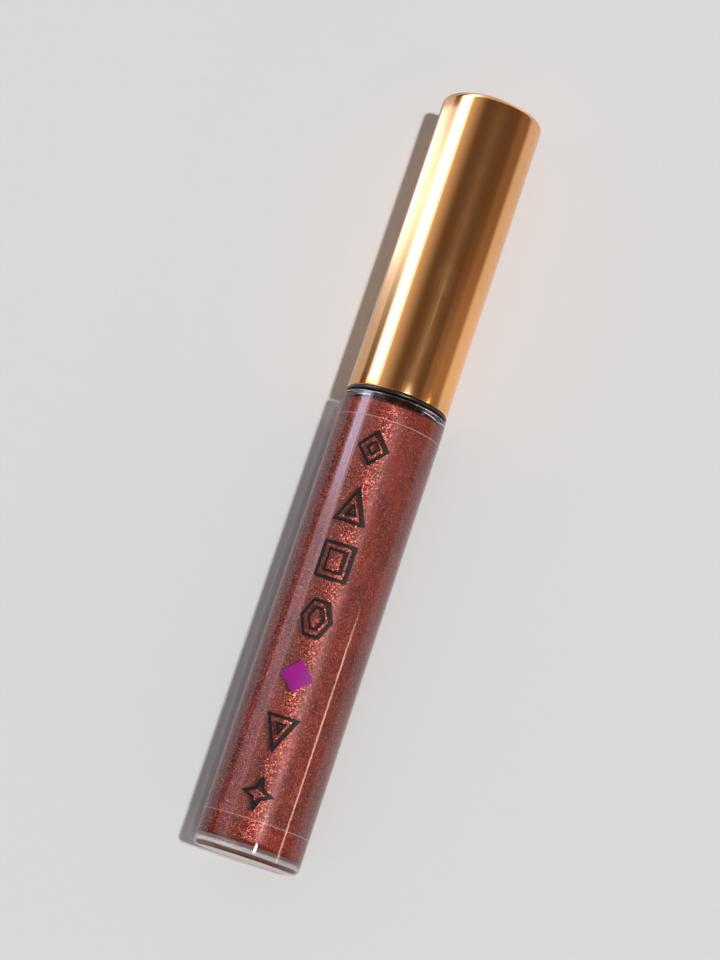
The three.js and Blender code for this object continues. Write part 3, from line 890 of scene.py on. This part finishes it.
def make_wiper():
    """A flanged sleeve whose lower end turns in to a lip round the wand."""
    sleeve_r = BORE_R - WIPER_GAP
    inner_r = sleeve_r - WIPER_WALL
    flange_bottom = FLANGE_TOP - WIPER_FLANGE_THICKNESS
    cone_start = LIP_Z + WIPER_LIP_LENGTH
    outline = [(sleeve_r, flange_bottom)]
    outline += corner(FLANGE_R, flange_bottom, WIPER_FLANGE_FILLET, -90, 0, 4)
    outline += corner(FLANGE_R, FLANGE_TOP, WIPER_FLANGE_FILLET, 0, 90, 4)
    outline += corner(inner_r, FLANGE_TOP, WIPER_MOUTH_FILLET, 90, 180, 4)
    outline += rise(inner_r, FLANGE_TOP - WIPER_MOUTH_FILLET, cone_start, 1.0)
    outline += [(WIPER_LIP_R + 0.12, LIP_Z + 0.45)]
    outline += arc(WIPER_LIP_R + WIPER_BEAD_R, LIP_Z + WIPER_BEAD_R, WIPER_BEAD_R, 160, 300, 5)
    outline += [(WIPER_LIP_R + 0.6, LIP_Z + 0.35), (sleeve_r, cone_start - 0.2)]
    outline += rise(sleeve_r, cone_start, flange_bottom, 1.0)[:-1]
    collar = turned("wiper_collar", outline, closed=True)
    return finish_piece(collar, WIPER, "bottle", "soft_plastic", "wiper")


def make_washer():
    hole_r = COLLAR_R + WASHER_HOLE_GAP
    fillet = WASHER_FILLET
    outline = corner(hole_r, WASHER_BOTTOM, fillet, 180, 270, 4)
    outline += corner(WASHER_R, WASHER_BOTTOM, fillet, -90, 0, 4)
    outline += corner(WASHER_R, WASHER_TOP, fillet, 0, 90, 4)
    outline += corner(hole_r, WASHER_TOP, fillet, 90, 180, 4)
    washer = turned("foam_washer", outline, closed=True)
    return finish_piece(washer, FOAM, "washer", "foam", "sealing_washer")


def add_blocks(piece, count, inner_r, outer_r, bottom, top, material):
    """Sets upright blocks in a ring between two radii and two heights."""
    apply_tree(piece, SPOKES, count=count, ring_radius=(inner_r + outer_r) / 2 * MM,
               block_size=Vector((outer_r - inner_r, BLOCK_WIDTH, top - bottom)) * MM,
               middle_height=(bottom + top) / 2 * MM, material=material)


def make_inner_cap():
    ceiling = WASHER_TOP + 0.05
    ceiling_top = ceiling + CEILING_THICKNESS
    outline = [(0, SOCKET_TOP - SOCKET_ROOF), (SOCKET_BORE_R, SOCKET_TOP - SOCKET_ROOF)]
    outline += rise(SOCKET_BORE_R, SOCKET_TOP - SOCKET_ROOF, ceiling)
    outline += corner(SKIRT_INNER_R, ceiling, CEILING_FILLET, 90, 0, 4)
    outline += rise(SKIRT_INNER_R, ceiling - CEILING_FILLET, RING_BOTTOM + 0.3, 0.5)
    outline += [(SKIRT_INNER_R + MOUTH_CHAMFER, RING_BOTTOM)]
    outline += corner(SHELL_R, RING_BOTTOM, RING_LOWER_FILLET, -90, 0, 5)
    outline += corner(SHELL_R, RING_TOP, RING_UPPER_FILLET, 0, 90, 4)
    outline += [(SKIRT_R, RING_TOP)]
    outline += rise(SKIRT_R, RING_TOP, ceiling_top - SKIRT_FILLET)
    outline += corner(SKIRT_R, ceiling_top, SKIRT_FILLET, 0, 90, 4)
    outline += corner(SOCKET_R, ceiling_top, SOCKET_FOOT_FILLET, -90, -180, 5)
    outline += rise(SOCKET_R, ceiling_top + SOCKET_FOOT_FILLET, SOCKET_TOP - SOCKET_TOP_FILLET)
    outline += corner(SOCKET_R, SOCKET_TOP, SOCKET_TOP_FILLET, 0, 90, 4)
    outline += [(0, SOCKET_TOP)]
    cap = turned("black_closure", outline)
    add_blocks(cap, 12, SKIRT_R - 0.2, SKIRT_R + RIB_REACH, RING_TOP - 0.1, ceiling_top - 0.6, BLACK)
    add_blocks(cap, 4, SOCKET_R - 0.5, SKIRT_INNER_R, ceiling_top - 0.5, ceiling_top + GUSSET_HEIGHT, BLACK)
    add_thread(cap, SKIRT_INNER_R - CAP_THREAD_DEPTH + CAP_RIDGE_R, CAP_RIDGE_R, BLACK)
    return finish_piece(cap, BLACK, "cap", "black_plastic", "inner_cap")


def make_shell():
    """The metal shell: a drawn cup with a rounded top edge and a rim rolled in a little."""
    bore = SHELL_R - SHELL_WALL
    roof = SHELL_TOP - SHELL_ROOF
    fillet = SHELL_TOP_FILLET
    inner_fillet = fillet - SHELL_WALL
    outline = [(0, roof), (bore * 0.5, roof)]
    outline += corner(bore, roof, inner_fillet, 90, 0)
    rim, inner_rim = SHELL_RIM_FILLET, SHELL_INNER_RIM_FILLET
    outline += rise(bore, roof - inner_fillet, SHELL_BOTTOM + inner_rim)
    outline += corner(bore, SHELL_BOTTOM, inner_rim, 180, 270, 4)
    outline += corner(SHELL_R, SHELL_BOTTOM, rim, -90, 0, 8)
    outline += rise(SHELL_R, SHELL_BOTTOM + rim, SHELL_TOP - fillet)
    outline += corner(SHELL_R, SHELL_TOP, fillet, 0, 90, 12)
    outline += [(SHELL_R * 0.5, SHELL_TOP), (0, SHELL_TOP)]
    return finish_piece(turned("gold_shell", outline), GOLD, "cap", "gold_metal", "overcap")


def make_stem():
    """The rod, with a hole in its lower end for the tip's plug and a collar under the washer's top."""
    collar_bottom = WASHER_TOP - COLLAR_THICKNESS
    hole_top = STEM_BOTTOM + STEM_HOLE_DEPTH
    outline = [(0, hole_top), (STEM_HOLE_R, hole_top), (STEM_HOLE_R, STEM_BOTTOM + 0.1),
               (STEM_HOLE_R + 0.1, STEM_BOTTOM)]
    outline += corner(STEM_R, STEM_BOTTOM, STEM_FILLET, -90, 0, 5)
    outline += rise(STEM_R, STEM_BOTTOM + STEM_FILLET, collar_bottom)
    outline += corner(COLLAR_R, collar_bottom, COLLAR_FILLET, -90, 0, 3)
    outline += corner(COLLAR_R, WASHER_TOP, COLLAR_FILLET, 0, 90, 3)
    outline += rise(STEM_R, WASHER_TOP, STEM_TOP - STEM_FILLET)
    outline += corner(STEM_R, STEM_TOP, STEM_FILLET, 0, 90, 4)
    outline += [(0, STEM_TOP)]
    return finish_piece(turned("wand_stem", outline), STEM, "cap", "stem_plastic", "stem")


def slant_front(piece, inset_by):
    """Pushes the front of a tip back to its slanted face, with a soft edge."""
    for vertex in piece.data.vertices:
        point = vertex.co / MM
        back = (point.z - TIP_BOTTOM) * math.tan(SLANT) - inset_by / math.cos(SLANT)
        ahead = (TIP_R - SLANT_END_WIDTH - back - point.y) / SLANT_EDGE_SOFTNESS
        pushed = SLANT_EDGE_SOFTNESS * math.log1p(math.exp(min(30.0, ahead)))
        vertex.co.y = min(point.y + pushed, math.sqrt(max(0.0, TIP_R ** 2 - point.x ** 2))) * MM
    piece.data.update()
    shade_smooth(piece.data)


def tip_outline(inset_by, top):
    """The tip before its slant: a round end and a straight side that turns in at the top."""
    end_r = TIP_R - inset_by
    end_z = TIP_BOTTOM + inset_by
    points = arc(0, end_z + end_r, end_r, -90, 0, 16)
    points += rise(end_r, end_z + end_r, top - 1.6, 0.5)
    points += arc(1.7 - inset_by, top - 0.4, 0.4, 20, 90, 4)
    return points


def make_tip_core():
    inset_by = FLOCK_SKIN + 0.05
    outline = tip_outline(inset_by, TIP_TOP)
    outline += [(PLUG_R, TIP_TOP + 0.05)] + rise(PLUG_R, TIP_TOP + 0.1, PLUG_TOP - PLUG_FILLET, 1.0)
    outline += corner(PLUG_R, PLUG_TOP, PLUG_FILLET, 0, 90, 3) + [(0, PLUG_TOP)]
    core = turned("tip_core", outline)
    slant_front(core, inset_by)
    return finish_piece(core, CORE, "cap", "tip_plastic", "applicator_core")


def make_flock():
    skin = turned("flocked_skin", tip_outline(FLOCK_BASE, TIP_TOP) + [(0, TIP_TOP)])
    slant_front(skin, FLOCK_BASE)
    apply_tree(skin, FLOCKING, density=FIBRES_PER_M2, fibre_length=FIBRE_LENGTH * MM,
               fibre_radius=FIBRE_R * MM, lean=FIBRE_LEAN, seed=11, material=FLOCK)
    return finish_piece(skin, FLOCK, "cap", "flock", "applicator_flock")


make_bottle()
make_gloss()
make_film()
make_print("printed_marks", draw_figures, BLACK_INK, "black_ink")
make_print("coloured_mark", draw_coloured_figure, MAGENTA_INK, "magenta_ink")
make_wiper()
make_washer()
make_inner_cap()
make_shell()
make_stem()
make_tip_core()
make_flock()

# ---- Stage: a pale table behind the tube, a pale floor under it, soft lights ----

TABLE_COLOUR = (0.795, 0.796, 0.803)
STAGE_REACH = 1500.0
TABLE_GAP = 0.12  # behind the tube
FLOOR_GAP = 0.05  # under it
KEY_AZIMUTH = 17  # the sun stands level, a little to the right
KEY_ANGLE = 3.0
KEY_ENERGY = 2.12
AMBIENT = 0.21
CAMERA_LENS = 97.5
CAMERA_SENSOR = 36.0
CAMERA_TARGET = (-1.6, 0.0, 58.3)
CAMERA_AWAY = (0.0636, -0.9789, -0.1943)  # from the target to the camera
CAMERA_UP = (-0.311, 0.0, 0.950)
CAMERA_DISTANCE = 386.0


def one_sided(name, colour, emission=0.0):
    """Matt and pale from its front, and not there from its back."""
    colour = (*colour, 1)
    material, tree, shader = new_material(name, base_color=colour, roughness=0.6, specular_ior_level=0.2,
                                          emission_color=colour, emission_strength=emission)
    side = node(tree, "ShaderNodeNewGeometry")
    unseen = value_of(tree, "ShaderNodeBsdfTransparent")
    mixed_out(tree, "Material Output", side.outputs["Backfacing"], shader.outputs[0], unseen)
    return material


def sheet_object(name, corners, material):
    """A flat piece of the stage. Its front is the side from which the corners run anticlockwise."""
    made = add_mesh(name, [Vector(point) * MM for point in corners], [range(len(corners))])
    made.data.materials.append(material)
    return made


def hide_from(target, *rays):
    for ray in rays:
        setattr(target, "visible_" + ray, False)


def make_table():
    """The surface the tube lies against. Right behind the tube, only the camera sees it."""
    reach = STAGE_REACH
    back = BOTTLE_R + TABLE_GAP
    material = one_sided("pale_table", TABLE_COLOUR)
    spans = [("table_left", -reach, -BOTTLE_R), ("table_right", BOTTLE_R, reach),
             ("table_strip", -BOTTLE_R, BOTTLE_R)]
    for name, left, right in spans:
        corners = [(left, back, -reach), (right, back, -reach), (right, back, reach), (left, back, reach)]
        made = sheet_object(name, corners, material)
        hide_from(made, "shadow", "glossy")
        if name == "table_strip":
            hide_from(made, "diffuse")


def make_floor():
    reach, level = STAGE_REACH, -FLOOR_GAP
    material = one_sided("pale_floor", TABLE_COLOUR, emission=0.45)
    corners = [(-reach, -reach, level), (reach, -reach, level), (reach, reach, level),
               (-reach, reach, level)]
    hide_from(sheet_object("floor", corners, material), "shadow", "diffuse", "glossy", "transmission")


def span_mask(tree, value, low, high, soft_low, soft_high):
    """1 between two angles, fading to 0 over a soft edge beyond each."""
    up = remap(tree, value, low - soft_low, low, smooth=True)
    down = remap(tree, value, high, high + soft_high, 1.0, 0.0, smooth=True)
    return product(tree, up, down)


# What glossy pieces mirror: soft boxes, each with its azimuths from -Y towards +X and its angles
# towards the cap, in degrees (low, high, soft edge, soft edge), and the light it adds.
EVERYWHERE = (-190, 190, 1, 1)
ALL_HEIGHTS = (-95, 95, 1, 1)
SOFT_BOXES = [
    (EVERYWHERE, ALL_HEIGHTS, (0.115, 0.073, 0.05)),  # a dim warm room
    ((-150, -106, 14, 7), (-45, 70, 12, 12), (0.42, 0.45, 0.5)),  # pale surroundings on the left
    ((-190, -158, 1, 14), (-45, 70, 12, 12), (0.12, 0.12, 0.13)),
    ((107, 190, 13, 1), (-45, 70, 12, 12), (0.45, 0.48, 0.52)),  # and on the right
    ((56, 190, 12, 1), (-60, 14, 10, 3), (0.17, 0.125, 0.09)),  # a wall on the right
    ((76, 190, 16, 1), (15, 60, 3, 10), (0.12, 0.08, 0.06)),
    ((-77, -59, 1.2, 1.2), (12.2, 62, 2.6, 8), (3.9, 4.0, 5.6)),  # the window
    ((-60, -54, 3, 3), (10, 62, 2, 8), (0.9, 0.88, 0.85)),
    ((-80, -55, 6, 6), (11, 62, 13, 8), (1.5, 1.4, 1.7)),
    ((-56, -52, 6, 40), (-30, 62, 10, 8), (0.56, 0.5, 0.44)),  # its glow on the wall beside it
    ((-140, -75, 8, 3), (16.3, 19.2, 0.6, 0.7), (1.7, 2.1, 2.9)),  # a bright sill
    ((68.5, 72, 0.8, 0.8), (-30, 7.4, 5, 1.4), (9.5, 6.2, 4.4)),  # a narrow slit on the right
    ((-150, -50, 25, 60), (-95, -38, 1, 14), (0.46, 0.38, 0.27)),  # a warm gleam from below, left
    ((135, 190, 10, 1), (-14, -0.5, 4, 0.5), (0.42, 0.4, 0.38)),  # the table top past the base
    ((-190, -135, 1, 10), (-14, -0.5, 4, 0.5), (0.42, 0.4, 0.38)),
    ((-68, -48, 8, 5), (-34, 2, 14, 1.5), (0.5, 0.47, 0.44)),
    (EVERYWHERE, (66, 95, 24, 1), (0.5, 0.5, 0.5)),  # overhead
]


def looked_towards(tree):
    """The azimuth and the height, in degrees, of the direction that the world is seen in."""
    looked = node(tree, "ShaderNodeTexCoord").outputs["Generated"]
    way = node(tree, "ShaderNodeSeparateXYZ", {0: looked}).outputs
    front = product(tree, way[1], -1.0)
    azimuth = math_node(tree, "DEGREES", math_node(tree, "ARCTAN2", way[0], front))
    return azimuth, math_node(tree, "DEGREES", math_node(tree, "ARCSINE", way[2]))


def studio_light(tree, azimuth, axial):
    """The soft boxes' light from a direction, summed."""
    total = (0.0, 0.0, 0.0)
    for across, along, light in SOFT_BOXES:
        mask = product(tree, span_mask(tree, azimuth, *across), span_mask(tree, axial, *along))
        total = vector_math(tree, "MULTIPLY_ADD", mask, light, total)
    return total


def make_key():
    key = bpy.data.lights.new("key", "SUN")
    key.energy = KEY_ENERGY
    key.angle = math.radians(KEY_ANGLE)
    key.color = (1.0, 0.99, 0.975)
    turn = math.radians(KEY_AZIMUTH)
    towards = Vector((math.sin(turn), -math.cos(turn), 0.0))
    add_object("key", key).rotation_euler = towards.to_track_quat("Z", "Y").to_euler()


def make_world():
    """A ray that was mirrored on its way sees the soft boxes, and one that was scattered sees an
    even dim light. A ray that only passed through clear pieces sees the plain backdrop, unless it
    looks steeply down."""
    world = bpy.data.worlds.new("studio")
    bpy.context.scene.world = world
    world.use_nodes = True
    tree = world.node_tree
    path = node(tree, "ShaderNodeLightPath").outputs
    azimuth, axial = looked_towards(tree)
    steeply_down = math_node(tree, "LESS_THAN", axial, -25.0)
    bounced = math_node(tree, "GREATER_THAN", path["Glossy Depth"], 0.5)
    mirrored = math_node(tree, "MAXIMUM", steeply_down, bounced)
    unscattered = math_node(tree, "LESS_THAN", path["Diffuse Depth"], 0.5)
    kept = math_node(tree, "MAXIMUM", unscattered, path["Is Glossy Ray"])
    ambient = value_of(tree, "ShaderNodeBackground", {"Color": (0.98, 0.98, 1.0, 1), "Strength": AMBIENT})
    boxes = value_of(tree, "ShaderNodeBackground", {"Color": studio_light(tree, azimuth, axial)})
    backdrop = value_of(tree, "ShaderNodeBackground", {"Color": (0.66, 0.655, 0.66, 1)})
    direct = value_of(tree, "ShaderNodeMixShader", {0: mirrored, 1: backdrop, 2: boxes})
    mixed_out(tree, "World Output", kept, ambient, direct)


def make_camera():
    """Looks down at the tube from its base end, turned so that the cap leans to the right."""
    camera = bpy.data.cameras.new("camera")
    camera.sensor_fit = "VERTICAL"
    camera.sensor_height = CAMERA_SENSOR
    camera.lens = CAMERA_LENS
    camera.clip_start = 0.01
    camera.clip_end = 10.0
    made = add_object("camera", camera)
    away = Vector(CAMERA_AWAY).normalized()
    right = Vector(CAMERA_UP).cross(away).normalized()
    turn = Matrix((right, away.cross(right), away)).transposed()
    place = (Vector(CAMERA_TARGET) + away * CAMERA_DISTANCE) * MM
    made.matrix_world = Matrix.Translation(place) @ turn.to_4x4()
    bpy.context.scene.camera = made


make_table()
make_floor()
make_key()
make_world()
make_camera()
bpy.context.scene.view_settings.view_transform = "Standard"
